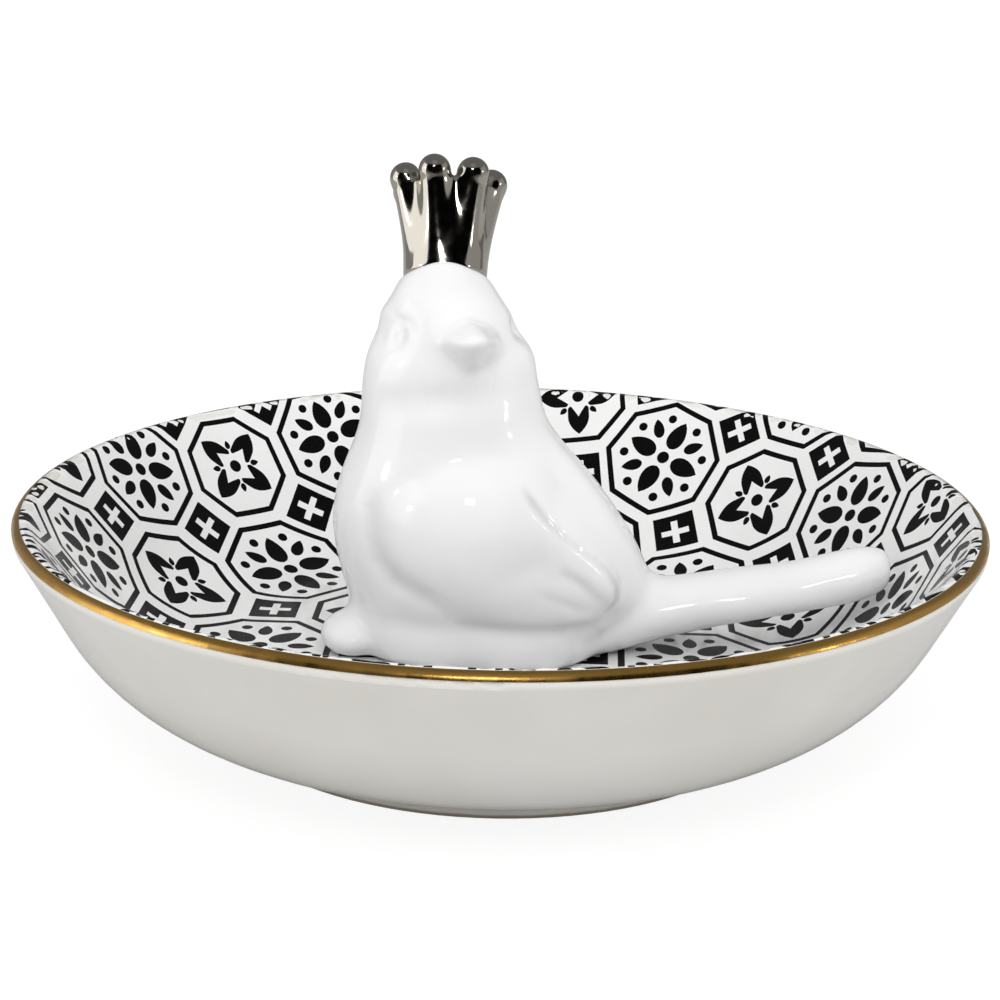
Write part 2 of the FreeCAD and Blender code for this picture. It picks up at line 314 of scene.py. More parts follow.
def printed_white(colours):
    """White of the transfer: the porcelain's glaze seen between the printed lines."""
    material, tree, shader = surface("glazed transfer white", Roughness=0.08, IOR=1.5)
    glaze = glaze_colour(tree, colours.transfer, colours.transfer_pool, 25 * MM)
    tree.links.new(glaze, shader.inputs["Base Color"])
    ripple(tree, shader, 5 * MM, 0.010 * MM)
    return material


def printed_black(colours):
    """Black ceramic ink melted into the glaze: a deep black with a faint grain of the print."""
    material, tree, shader = surface("black ceramic ink", Roughness=0.2, IOR=1.5, Specular_IOR_Level=0.12)
    worn = [2.2 * c for c in colours.ink]
    grained = ramp(tree, noise(tree, 0.35 * MM, 3.0), (0.3, colours.ink), (0.9, worn))
    tree.links.new(grained, shader.inputs["Base Color"])
    ripple(tree, shader, 5 * MM, 0.010 * MM)
    return material


def fired_gold(colours):
    """Liquid bright gold, brushed on and fired: a warm metal film with faint brush unevenness."""
    material, tree, shader = surface("fired gold", Base_Color=rgba(colours.gold), Metallic=1.0)
    uneven(tree, shader, 2.5 * MM, 3.0, (0.3, 0.7), (0.20, 0.38))
    ripple(tree, shader, 1.2 * MM, 0.01 * MM)
    return material


def platinum_lustre(colours):
    """Platinum lustre fired over the glaze: a dark mirror with small waves and a slight bloom."""
    material, tree, shader = surface("platinum lustre", Base_Color=rgba(colours.platinum), Metallic=1.0)
    uneven(tree, shader, 1.8 * MM, 2.0, (0.35, 0.75), (0.06, 0.16))
    ripple(tree, shader, 1.6 * MM, 0.012 * MM)
    return material


def fired_slip(colours):
    """Slip fired into the seams: matt white clay with a fine grain."""
    material, tree, shader = surface("fired slip", Base_Color=rgba(colours.slip), Roughness=0.8)
    ripple(tree, shader, 0.4 * MM, 0.03 * MM)
    return material


def stage_floor(colours, glow):
    """Matt white sweep: the camera sees mostly its own white, and it keeps the object's soft shadow."""
    material, tree, shader = surface("matt white sweep", Base_Color=rgba(colours.floor), Roughness=0.9)
    white = add(tree, "ShaderNodeEmission", {"Color": (1, 1, 1, 1), "Strength": 1.25})
    path = add(tree, "ShaderNodeLightPath")
    amount = add(tree, "ShaderNodeMath", {0: path.outputs["Is Camera Ray"], 1: glow}, operation="MULTIPLY")
    mixed = add(tree, "ShaderNodeMixShader", {0: amount.outputs[0], 1: shader.outputs[0],
                                             2: white.outputs[0]})
    output = next(n for n in tree.nodes if n.type == "OUTPUT_MATERIAL")
    tree.links.new(mixed.outputs[0], output.inputs["Surface"])
    return material


def dark_cloth():
    """Black cloth in front of the object, which the lustre and the gold mirror."""
    black = rgba(linear("0A0A0B"))
    return surface("black cloth", Base_Color=black, Roughness=1.0, Specular_IOR_Level=0.0)[0]


def lit_panel(name, brightness):
    """White cloth lit from behind, which the lustre and the gold mirror."""
    return surface(name, Base_Color=(0, 0, 0, 1), Roughness=1.0, Specular_IOR_Level=0.0,
                   Emission_Color=(1, 1, 1, 1), Emission_Strength=brightness)[0]


# Meshes

def linked(name, data):
    """New object in the scene."""
    made = bpy.data.objects.new(name, data)
    bpy.context.scene.collection.objects.link(made)
    return made


def new_piece(name, points, faces, materials, replaced=()):
    """Mesh object of the object's own, riding on its only body; points are in metres."""
    mesh = bpy.data.meshes.new(name)
    mesh.from_pydata([tuple(p) for p in points], [], [tuple(int(i) for i in f) for f in faces])
    mesh.validate()
    for material in materials:
        mesh.materials.append(material)
    mesh.shade_smooth()
    piece = linked(name, mesh)
    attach(piece, "root")
    if replaced:
        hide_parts(*replaced)
    return piece


def dress(node_name, material):
    """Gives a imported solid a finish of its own."""
    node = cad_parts[node_name]
    if not node.material_slots:
        node.data.materials.append(material)
    for slot in node.material_slots:
        slot.material = material


# Print

def inside_profile(bowl, distance):
    """Radius, height and slope of the bowl's inside at a distance from its axis along the surface."""
    lip = bowl.lip_thickness / 2
    lip_x, lip_z = RIM_RADIUS - lip, RIM_HEIGHT - lip
    slope = bowl.wall_slope
    wall_end_x, wall_end_z = lip_x - lip * math.sin(slope), lip_z + lip * math.cos(slope)
    arc_z = bowl.floor_height + bowl.floor_arc
    arc_x = wall_end_x - (bowl.floor_arc - (arc_z - wall_end_z) * math.cos(slope)) / math.sin(slope)
    wall_x = arc_x + bowl.floor_arc * math.sin(slope)
    wall_z = arc_z - bowl.floor_arc * math.cos(slope)
    wall_length = math.hypot(wall_end_x - wall_x, wall_end_z - wall_z)
    marks = np.cumsum([arc_x, bowl.floor_arc * slope, wall_length])
    on_arc = np.clip((distance - marks[0]) / bowl.floor_arc, 0, slope)
    on_wall = np.clip(distance - marks[1], 0, wall_length)
    on_lip = slope - np.clip((distance - marks[2]) / lip, 0, None)
    radius = np.minimum(distance, arc_x) + bowl.floor_arc * np.sin(on_arc) + on_wall * math.cos(slope)
    height = bowl.floor_height + bowl.floor_arc * (1 - np.cos(on_arc)) + on_wall * math.sin(slope)
    past = distance > marks[2]
    radius = np.where(past, lip_x - lip * np.sin(on_lip), radius)
    height = np.where(past, lip_z + lip * np.cos(on_lip), height)
    return radius, height, np.where(past, on_lip, on_arc)


# Radius of the flat sheet at which its stretch is given, and one beyond its edge
PRESS_RADIUS = 60 * MM
SHEET_LIMIT = 90 * MM


def pressed(tiles, reach):
    """Distance from the axis along the bowl for a distance from the middle of the flat sheet."""
    return reach * (1 - tiles.stretch * (reach / PRESS_RADIUS) ** 2)


def on_bowl(bowl, tiles, flat):
    """Points and normals on the bowl's inside for points of the flat printed sheet."""
    reach = np.hypot(flat[:, 0], flat[:, 1])
    radius, height, slope = inside_profile(bowl, pressed(tiles, reach))
    unit = flat / np.maximum(reach, 1e-9)[:, None]
    normals = np.column_stack([-unit * np.sin(slope)[:, None], np.cos(slope)])
    return np.column_stack([unit * radius[:, None], height]), normals


def sheet_radius(bowl, tiles, lip_angle):
    """Radius of the flat sheet at an angle of the lip, which is a quarter turn on its top."""
    reach = np.linspace(0, SHEET_LIMIT, 9001)
    slope = inside_profile(bowl, pressed(tiles, reach))[2]
    return float(reach[np.argmax(slope < lip_angle - math.pi / 2)])


def bond_outline(tiles):
    """Oval round the bond under the bird, on the flat sheet."""
    low, high = (np.array(corner[:2]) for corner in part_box("bird_bond"))
    half = (high - low) / 2 + tiles.bond_gap
    on_floor = (high + low) / 2 + half * polygon(72, 1.0, 0)
    reach = np.hypot(on_floor[:, 0], on_floor[:, 1])
    return on_floor * (1 + tiles.stretch * (reach / PRESS_RADIUS) ** 2)[:, None]


def turned(outline, degrees):
    """Outline turned about the middle of its tile."""
    c, s = math.cos(math.radians(degrees)), math.sin(math.radians(degrees))
    return outline @ np.array([[c, s], [-s, c]])


def petal(inner, tip, half_breadth, steps=11):
    """Drop along X, round at its inner end and pointed at its tip."""
    t = np.linspace(0, 1, steps) ** 1.4
    swell = t ** 0.55 * (1 - t) ** 0.85
    half = half_breadth * swell / swell.max()
    along = inner + (tip - inner) * t
    return np.vstack([np.column_stack([along, half]), np.column_stack([along, -half])[-2:0:-1]])


def bend(start, pull, end, steps):
    """Points of a quadratic curve, without its end."""
    t = np.linspace(0, 1, steps, endpoint=False)[:, None]
    start, pull, end = (np.array(p, float) for p in (start, pull, end))
    return (1 - t) ** 2 * start + 2 * t * (1 - t) * pull + t ** 2 * end


def leaf(tip, half_breadth, foot, notch):
    """Leaf along X with a notch in its inner end; foot is the middle of one prong's blunt end."""
    x, y = foot
    prong = half_breadth - y
    shoulder, outer, inner = (notch, half_breadth), (x + prong, y + prong), (x + prong, y - prong)
    side = np.vstack([bend((tip, 0), (0.6 * tip + 0.35 * notch, half_breadth), shoulder, 6),
                      bend(shoulder, (x + 2 * prong, half_breadth), outer, 2),
                      bend(outer, (x - prong, y), inner, 4),
                      bend(inner, (notch - prong, 0.5 * prong), (notch, 0), 3)])
    mirrored = side[1:][::-1] * (1, -1)
    return np.vstack([side, [(notch, 0)], mirrored])


def dot(x, radius, steps=14):
    """Round dot at a distance from the middle of its tile."""
    t = np.linspace(0, 2 * math.pi, steps, endpoint=False)
    return np.column_stack([x + radius * np.cos(t), radius * np.sin(t)])


def polygon(corners, radius, first):
    """Regular polygon; first is the angle of its first corner in degrees."""
    t = np.radians(first) + np.arange(corners) * 2 * math.pi / corners
    return radius * np.column_stack([np.cos(t), np.sin(t)])


def octagon_lines(middle, line):
    """Both edges of an octagon's line; middle is the distance from the octagon's middle to the line's."""
    return [polygon(8, (middle + side * line / 2) / math.cos(math.pi / 8), 22.5) for side in (1, -1)]


def petal_tile(tiles):
    """Octagon with four large and four small petals and nine dots, drawn to the flower's size."""
    shapes = [dot(0, 0.117)]
    for quarter in range(0, 360, 90):
        shapes.append(turned(petal(0.19, 0.765, 0.168), quarter))
        shapes.append(turned(petal(0.40, 0.79, 0.105), quarter + 45))
        shapes += [turned(dot(0.765, 0.084), quarter + eighth) for eighth in (22.5, 67.5)]
    return octagon_lines(tiles.petal_octagon, tiles.line) + [tiles.flower * s for s in shapes]


def leaf_tile(tiles):
    """Octagon with four notched leaves, four buds and a middle dot, drawn to the flower's size."""
    shapes = [dot(0, 0.115)]
    for quarter in range(0, 360, 90):
        shapes.append(turned(leaf(0.765, 0.205, (0.195, 0.155), 0.41), quarter + 45))
        shapes.append(turned(petal(0.33, 0.50, 0.055, 7), quarter))
    return octagon_lines(tiles.leaf_octagon, tiles.line) + [tiles.flower * s for s in shapes]


def square_tile(tiles):
    """Black square on its corner with a white cross."""
    half, arm = tiles.cross_length / 2, tiles.cross_breadth / 2
    cross = np.array([(half, -arm), (half, arm), (arm, arm), (arm, half), (-arm, half), (-arm, arm),
                      (-half, arm), (-half, -arm), (-arm, -arm), (-arm, -half), (arm, -half), (arm, -arm)])
    return [polygon(4, tiles.square / math.sqrt(2), 0), turned(cross, 45)]


def divided(outline, step):
    """Outline with its long edges divided, so that it can follow the bowl."""
    ends = np.roll(outline, -1, axis=0)
    runs = []
    for start, end in zip(outline, ends):
        count = max(1, math.ceil(math.dist(start, end) / step))
        runs.append(start + (end - start) * np.linspace(0, 1, count, endpoint=False)[:, None])
    return np.vstack(runs)


def tile_outlines(tiles, edge):
    """Outlines of all tiles that reach into the sheet; every second outline inwards is white."""
    c, s = math.cos(tiles.turn), math.sin(tiles.turn)
    rows = np.array([(c, s), (-s, c)])
    petals, leaves, squares = petal_tile(tiles), leaf_tile(tiles), square_tile(tiles)
    rows_each_way = 9
    span = range(-rows_each_way, rows_each_way + 1)
    for i in span:
        for j in span:
            kinds = ((petals if (i + j) % 2 == 0 else leaves, (i, j)), (squares, (i + 0.5, j + 0.5)))
            for shapes, place in kinds:
                middle = np.array(tiles.start) + tiles.pitch * np.array(place) @ rows
                if np.hypot(*middle) < edge + tiles.pitch / 2:
                    for shape in shapes:
                        yield divided(middle + shape @ rows, tiles.step)


def sheet_mesh(tiles, edge):
    """Triangles of the printed sheet, and for each whether it is black."""
    ring_gap, point_gap, ring_turn = 1.25 * tiles.step, 1.4 * tiles.step, 7
    rings = np.arange(tiles.step, edge - tiles.step / 2, ring_gap)
    counts = [max(6, round(2 * math.pi * radius / point_gap)) for radius in rings]
    grid = [polygon(count, radius, ring_turn * k) for k, (count, radius) in enumerate(zip(counts, rings))]
    border = polygon(round(2 * math.pi * edge / tiles.step), edge, 0)
    outlines = [border, bond_outline(tiles)] + list(tile_outlines(tiles, edge))
    points = np.vstack(outlines + grid)
    starts = np.cumsum([0] + [len(o) for o in outlines])
    loops = [list(range(a, b)) for a, b in zip(starts, starts[1:])]
    made = delaunay_2d_cdt([Vector(p) for p in points], [], loops, 0, 1e-7, True)
    flat = np.array([tuple(p) for p in made[0]])
    sheet, bond = range(2)
    faces, black = [], []
    for corners, inside in zip(made[2], made[5]):
        if sheet in inside and bond not in inside:
            faces.append(corners)
            black.append(len(inside) % 2 == 0)
    return flat, np.array(faces), np.array(black)


def thick_sheet(points, normals, faces, low, high):
    """Closes a sheet into a film between two heights above its points."""
    count = len(points)
    both = np.vstack([points + normals * high, points + normals * low])
    sides = {}
    for a, b, c in faces:
        for edge in ((a, b), (b, c), (c, a)):
            if sides.pop((edge[1], edge[0]), None) is None:
                sides[edge] = True
    walls = [(b, a, a + count, b + count) for a, b in sides]
    return both, [tuple(f) for f in faces] + [tuple(f[::-1] + count) for f in faces] + walls


# Cast skins

def level_set(node_name, grain, reach):
    """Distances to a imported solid's skin in millimetres, the first of their cells, and the cells' grid."""
    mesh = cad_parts[node_name].data
    mesh.calc_loop_triangles()
    points = np.empty(3 * len(mesh.vertices), np.float32)
    mesh.vertices.foreach_get("co", points)
    corners = np.empty(3 * len(mesh.loop_triangles), np.int32)
    mesh.loop_triangles.foreach_get("vertices", corners)
    cells = openvdb.createLinearTransform(voxelSize=grain / MM)
    grid = openvdb.FloatGrid.createLevelSetFromPolygons(
        points.reshape(-1, 3) / MM, triangles=corners.reshape(-1, 3).astype(np.uint32), transform=cells,
        halfWidth=reach / grain)
    first, last = grid.evalActiveVoxelBoundingBox()
    field = np.empty([b - a + 1 for a, b in zip(first, last)], np.float32)
    grid.copyToArray(field, ijk=first)
    return field, first, cells


# Depth in millimetres that the clay beside a closed hollow has at least
HOLLOW_DEPTH = 1.5
# A crease's distance counts less along Y, so that it cuts through the skin from the front
CREASE_WEIGHTS = (1, 0.15, 1)


def close_hollow(field, grain, reach):
    """Fills a cast hollow and the clay beside it, so that only the outer skin is left to model."""
    clay = field < 0
    hollow = ~clay
    for axis in range(2):
        hollow &= np.maximum.accumulate(clay, axis=axis)
        hollow &= np.flip(np.maximum.accumulate(np.flip(clay, axis), axis=axis), axis)
    trace = 0.001
    beside = blurred(hollow.astype(np.float32), grain, grain) > trace
    field[beside] = np.minimum(field[beside], -HOLLOW_DEPTH)
    field[hollow] = -reach / MM


def blurred(field, breadth, grain):
    """Distances averaged over a breadth, which rounds edges and creases."""
    span = max(1, round(breadth / grain))
    for axis in range(3):
        for _ in range(3):
            edges = [(span + 1, span) if k == axis else (0, 0) for k in range(3)]
            sums = np.cumsum(np.pad(field, edges, mode="edge"), axis=axis, dtype=np.float64)
            count = field.shape[axis]
            ahead = np.take(sums, range(2 * span + 1, 2 * span + 1 + count), axis=axis)
            behind = np.take(sums, range(count), axis=axis)
            field = ((ahead - behind) / (2 * span + 1)).astype(np.float32)
    return field


def cell_places(field, first, grain):
    """Coordinates of the cells in millimetres, as three arrays that spread over the grid."""
    axes = [(np.arange(count) + start) * grain / MM for count, start in zip(field.shape, first)]
    return np.meshgrid(*axes, indexing="ij", sparse=True)


def round_spot(places, centre, spread, flatness=4):
    """Weight that is one at a spot and falls to nought beyond its spread; a flatter one falls later."""
    return np.exp(-sum(((p - c) / s) ** flatness for p, c, s in zip(places, centre, spread)))


def line_depth(places, points, breadth):
    """Depth of a soft crease at places near it; it runs along points that each have a depth."""
    best, depth = np.inf, 0.0
    for start, end in zip(points, points[1:]):
        run = end - start
        along = sum((p - s) * r for p, s, r in zip(places, start, run)) / (run[:3] @ run[:3])
        along = np.clip(along, 0, 1)
        away = sum(k * (p - s - along * r) ** 2 for k, p, s, r in zip(CREASE_WEIGHTS, places, start, run))
        depth = np.where(away < best, start[3] + along * run[3], depth)
        best = np.minimum(best, away)
    return depth * np.exp(-best / breadth ** 2)


def crease(field, places, points, breadth):
    """Draws a soft crease along points near the skin."""
    points = np.array(points)
    margin = 7 * breadth
    low, high = points[:, :3].min(0) - margin, points[:, :3].max(0) + margin
    block = tuple(slice(*np.searchsorted(p.ravel(), ends)) for p, ends in zip(places, zip(low, high)))
    near = np.meshgrid(*[p.ravel()[b] for p, b in zip(places, block)], indexing="ij", sparse=True)
    field[block] += line_depth(near, points, breadth)


def merge(field, form, breadth):
    """Joins a form to the skin with a rounding of a given breadth."""
    blend = np.clip(0.5 + 0.5 * (field - form) / breadth, 0, 1)
    field += blend * (form - field) - breadth * blend * (1 - blend)


def skin(field, first, cells):
    """Points in metres and faces of the surface where the distance is nought."""
    grid = openvdb.FloatGrid(float(field.max()))
    grid.transform = cells
    grid.copyFromArray(np.ascontiguousarray(field), ijk=first)
    points, faces = grid.convertToQuads(isovalue=0.0)
    if not len(faces):
        raise RuntimeError("the cast has no skin")
    return points * MM, faces[:, ::-1]


# Modelling of the bird, in millimetres: its middle plane, and where hollows are filled, with their spread
BIRD_MIDDLE = 3.2
BIRD_FILLETS = (
    # back and tail
    ((20.5, 3.0, 16.5), (6.0, 12.0, 7.0)),
    # breast and toe
    ((-18.0, -2.0, 11.0), (4.5, 9.0, 5.0)),
)
BIRD_HOLLOWS = (
    # belly and pad
    ((-2.0, -12.5, 19.5), (9.0, 6.0, 4.5)),
    # belly and wing
    ((5.5, -11.5, 24.0), (5.5, 6.0, 6.0)),
    # back and both wings
    ((11.0, -8.5, 28.5), (6.0, 6.0, 6.5)),
    ((11.0, 14.9, 28.5), (6.0, 6.0, 6.5)),
)

# Where the edges of both wings are smoothed away
BIRD_SMOOTH = (
    ((10.5, -8.5, 27.5), (5.5, 5.5, 6.5)),
    ((10.5, 14.9, 27.5), (5.5, 5.5, 6.5)),
)

# Creases: points on the skin with their depths, the breadth, and how far painted shade greys the crease
BIRD_CREASES = (
    # fold of the neck
    (((-17.0, -2.1, 43.0, 0.1), (-13.8, -5.3, 43.3, 0.5), (-9.9, -7.3, 44.1, 0.75), (-6.1, -7.4, 44.3, 0.8),
      (-1.6, -6.1, 44.6, 0.6), (2.2, -3.0, 44.1, 0.2)), 2.4, 0.0),
    # side of the breast
    (((-16.4, -6.5, 32.8, 0.0), (-16.5, -7.7, 29.8, 0.4), (-16.3, -8.5, 26.0, 0.65),
      (-15.5, -8.9, 23.1, 0.8), (-13.5, -9.7, 20.7, 0.8), (-9.6, -11.3, 19.2, 0.55),
      (-5.7, -12.1, 17.6, 0.25)), 1.5, 0.35),
    # belly above the pad
    (((-6.3, -11.6, 16.3, 0.2), (-3.7, -11.7, 15.6, 0.5), (0.2, -11.6, 15.1, 0.6), (4.1, -11.0, 14.6, 0.6),
      (8.2, -9.8, 14.4, 0.6), (12.2, -8.0, 14.4, 0.5), (14.9, -6.5, 15.6, 0.2)), 1.2, 0.35),
    # brow
    (((-15.8, 2.0, 52.5, 0.1), (-14.1, -0.7, 53.6, 0.25), (-12.3, -2.5, 53.5, 0.25),
      (-11.5, -3.6, 52.5, 0.1)), 0.7, 0.0),
)
WING_CREASES = (
    # edge of the wing
    (((2.4, -10.2, 34.4, 0.0), (4.0, -10.9, 32.1, 0.22), (5.7, -11.3, 30.0, 0.28),
      (7.9, -11.3, 27.7, 0.28), (10.3, -10.7, 25.6, 0.26), (12.5, -9.6, 23.9, 0.25),
      (14.3, -8.7, 22.1, 0.28), (15.4, -8.0, 20.0, 0.3), (15.4, -7.6, 17.8, 0.3),
      (14.0, -7.6, 16.1, 0.1)), 0.5, 0.9),
    # two feathers
    (((7.2, -11.4, 23.2, 0.0), (8.7, -11.0, 22.2, 0.2), (10.7, -10.3, 20.8, 0.25), (12.5, -9.4, 18.9, 0.2),
      (13.9, -8.5, 17.5, 0.05)), 0.8, 0.2),
    (((3.9, -12.4, 20.9, 0.0), (6.8, -11.6, 19.3, 0.15), (9.8, -10.4, 17.8, 0.18),
      (12.9, -8.5, 16.4, 0.05)), 0.8, 0.2),
)

# Dents, with their spread and depth; a depth below nought is a swelling
BIRD_DENTS = (
    # eye sockets, each with its eye
    ((-14.3, -1.0, 51.6), (2.7, 2.7, 2.3), 0.65),
    ((-14.4, -1.1, 51.4), (1.5, 1.5, 1.4), -0.6),
    ((2.0, 3.2, 50.9), (2.2, 2.4, 1.5), 0.5),
    ((2.0, 3.2, 50.9), (1.1, 1.1, 1.0), -0.4),
    # brows
    ((-15.8, 3.5, 53.4), (2.5, 3.5, 1.5), -0.45),
    ((1.0, 4.5, 53.2), (2.2, 3.5, 1.4), -0.15),
    # cheeks
    ((3.2, 4.0, 48.0), (2.5, 4.0, 2.2), -0.5),
    ((-17.2, 3.0, 48.0), (2.5, 4.0, 2.2), -0.25),
    # head before the crown
    ((-7.9, 2.4, 60.3), (3.5, 2.0, 1.5), -0.5),
    # underside of the tail
    ((36.0, -1.5, 15.8), (9.0, 4.0, 2.5), -1.0),
    # belly
    ((-3.5, -12.5, 20.5), (8.0, 5.0, 4.0), -0.8),
)

# Beak: corners of its wedge and of each side, how far it reaches from its front and goes into the face,
# the rounding of its edges, and where its foot is smoothed
BEAK_CORNERS = {
    "left": (-8.6, -5.3, 51.7), "front": (-4.6, -10.6, 52.5), "tip": (-2.3, -10.5, 52.9),
    "right": (-0.5, -4.5, 51.6), "above": (-4.6, -4.6, 54.6), "below": (-4.0, -6.3, 47.6),
}
BEAK_SIDES = ("left front above", "front tip above", "tip right above", "tip right below",
              "front tip below", "left front below")
BEAK_REACH = 7
BEAK_ROOT = 3
BEAK_SHARPNESS = 0.12
BEAK_SMOOTH = ((1.3, -4.2, 52.4), (2.2, 3.0, 3.0))

# Leaning cone of the face that the beak stands on: its radius at its middle, how much it narrows and leans
# upwards, the cosine of its slope, and what is left on it when the cast beak is cut away
FACE_MIDDLE = (-8.67, 7.07, 51.0)
FACE_RADIUS = 12.14
FACE_NARROWING = 0.444
FACE_LEAN = -0.128
FACE_COSINE = 0.91
FACE_MARGIN = 0.25

# Crown, in millimetres: its seat on the head, its lean, the middle radius and half the breadth of its foot,
# and the two ends of a column below a knob as distance from the axis, height and radius
CROWN_SEAT = (-7.9, 7.5, 57.85)
CROWN_LEAN = math.radians(29)
CROWN_FOOT = (5.0, 0.55)
COLUMN_TOP = (5.9, 12.4, 1.75)
COLUMN_FOOT = (4.0, 0.0, 0.5)


def other_side(creases):
    """The same creases on the bird's other side."""
    return tuple((tuple((x, 2 * BIRD_MIDDLE - y, z, depth) for x, y, z, depth in points), breadth, painted_shade)
                 for points, breadth, painted_shade in creases)


ALL_CREASES = BIRD_CREASES + WING_CREASES + other_side(WING_CREASES)


# Stage, in metres from the middle of the floor: places of the lights with their spread in degrees or their
# size, and what they point at; the key, front and strip lights stand on both sides
FLOOR_HALF = 4.0
TOP_LIGHT = ((0.0, -0.25, 0.97), 60)
KEY_LIGHT = ((0.94, -0.28, 0.19), 50)
FRONT_LIGHT = ((0.38, -0.82, 0.42), 50)
STRIP_LIGHT = ((0.42, -0.12, 0.17), (0.05, 0.03))
SPOT_LIGHT = ((-0.038, -0.50, 0.47), (0.10, 0.07))
LIGHTS_AIM = (0, 0, 0.03)

# What only the gloss mirrors: the radius of the upright sheets, the angles from the front and the heights
# of the cloth and of the panels, with the panels' brightness, and the corners of the panel above
MIRROR_RADIUS = 0.55
CLOTH_ANGLES = (-62, 62)
CLOTH_HEIGHTS = (0.12, 0.62)
PANEL_HEIGHTS = (0.02, 0.45)
PANELS = (("left_panel", (-104, -65), 1.7), ("left_far_panel", (-135, -104), 0.35),
          ("right_panel", (64, 118), 0.45))
TOP_PANEL = [(-0.15, -0.45, 0.62), (0.15, -0.45, 0.62), (0.15, -0.10, 0.62), (-0.15, -0.10, 0.62)]
TOP_PANEL_BRIGHTNESS = 0.35


# Operators

class RINGDISH_OT_bowl(bpy.types.Operator):
    """Glaze the bowl and leave its foot bare."""

    bl_idname = "ringdish.bowl"
    bl_label = "Bowl"

    def execute(self, context):
        settings = context.scene.ring_dish
        dress("dish_body", footed_porcelain(settings.colours, settings.bowl.foot_bare))
        return {"FINISHED"}


class RINGDISH_OT_print(bpy.types.Operator):
    """Print the tiles on the bowl's lining."""

    bl_idname = "ringdish.print"
    bl_label = "Printed lining"

    def execute(self, context):
        settings = context.scene.ring_dish
        bowl, tiles = settings.bowl, settings.tiles
        flat, faces, black = sheet_mesh(tiles, sheet_radius(bowl, tiles, tiles.lip_end))
        if not black.any() or black.all():
            raise RuntimeError("the print has only one colour")
        points, normals = on_bowl(bowl, tiles, flat)
        both, closed = thick_sheet(points, normals, faces, tiles.lift, tiles.film)
        finishes = [printed_white(settings.colours), printed_black(settings.colours)]
        piece = new_piece("printed_lining", both, closed, finishes, ["transfer_lining"])
        shades = np.zeros(len(piece.data.polygons), np.int32)
        shades[:len(black)] = black
        piece.data.polygons.foreach_set("material_index", shades)
        return {"FINISHED"}


class RINGDISH_OT_gilding(bpy.types.Operator):
    """Gild the lip."""

    bl_idname = "ringdish.gilding"
    bl_label = "Gilding"

    def execute(self, context):
        dress("rim_gilding", fired_gold(context.scene.ring_dish.colours))
        return {"FINISHED"}


class RINGDISH_OT_bird(bpy.types.Operator):
    """Cast and glaze the bird."""

    bl_idname = "ringdish.bird"
    bl_label = "Bird"

    def execute(self, context):
        settings = context.scene.ring_dish
        sizes = settings.bird
        field, first, cells = level_set("bird_body", sizes.grain, sizes.reach)
        places = cell_places(field, first, sizes.grain)
        close_hollow(field, sizes.grain, sizes.reach)
        self.fill(field, places, sizes)
        self.beak(field, places, sizes)
        field = blurred(field, sizes.soften, sizes.grain)
        self.model(field, places)
        points, faces = skin(field, first, cells)
        finish = porcelain(settings.colours)
        piece = new_piece("bird", points, faces, [finish], ["bird_body"])
        # Painted shade: each point of the skin keeps how far its crease is greyed
        painted_shade = piece.data.attributes.new("painted_crease_shade", "FLOAT", "POINT")
        painted_shade.data.foreach_set("value", self.painted_crease_shade(points / MM))
        dress("bird_bond", fired_slip(settings.colours))
        return {"FINISHED"}

    @staticmethod
    def fill(field, places, sizes):
        """Fills the hollows between the cast forms and smooths the edges of the wings."""
        soft = blurred(field, sizes.fillet, sizes.grain)
        softest = blurred(field, sizes.hollow, sizes.grain)
        changes = ((BIRD_FILLETS, np.minimum(field, soft)), (BIRD_HOLLOWS, np.minimum(field, softest)),
                   (BIRD_SMOOTH, soft))
        for spots, changed in changes:
            for centre, spread in spots:
                field += round_spot(places, centre, spread) * (changed - field)

    @staticmethod
    def model(field, places):
        """Draws the creases and swellings of the breast, the wings and the face."""
        for points, breadth, _ in ALL_CREASES:
            crease(field, places, points, breadth)
        for centre, spread, depth in BIRD_DENTS:
            field += depth * round_spot(places, centre, spread, 2)

    @staticmethod
    def painted_crease_shade(points):
        """How far painted shade greys a crease, at each point of the skin."""
        places = points.T.astype(np.float64)
        painted_shade = np.zeros(len(points), np.float32)
        for line, breadth, amount in ALL_CREASES:
            line = np.array(line)
            np.maximum(painted_shade, amount * line_depth(places, line, breadth) / line[:, 3].max(), out=painted_shade)
        return painted_shade

    @staticmethod
    def beak(field, places, sizes):
        """Cuts the blunt cast beak to a wedge that runs softly into the face."""
        corners = {name: np.array(place) for name, place in BEAK_CORNERS.items()}
        middle = sum(corners.values()) / len(corners)
        x, y, z = (p - m for p, m in zip(places, FACE_MIDDLE))
        cone = np.hypot(x - FACE_LEAN * z, y) - FACE_RADIUS + FACE_NARROWING * z
        before = FACE_COSINE * cone - FACE_MARGIN
        near = BEAK_REACH - np.sqrt(sum((p - c) ** 2 for p, c in zip(places, corners["front"])))
        sides = [-before - BEAK_ROOT, -near]
        for names in BEAK_SIDES:
            a, b, c = (corners[name] for name in names.split())
            normal = np.cross(b - a, c - a)
            normal *= math.copysign(1, normal @ (a - middle)) / math.sqrt(normal @ normal)
            sides.append(sum(p * n for p, n in zip(places, normal)) - a @ normal)
        highest = np.maximum.reduce(sides)
        total = sum(np.exp((side - highest) / BEAK_SHARPNESS) for side in sides)
        wedge = highest + BEAK_SHARPNESS * np.log(total)
        np.maximum(field, np.minimum(np.minimum(wedge, before), near), out=field)
        merge(field, wedge, sizes.beak_merge / MM)
        smooth = blurred(field, sizes.beak_smooth, sizes.grain)
        field += round_spot(places, *BEAK_SMOOTH) * (smooth - field)


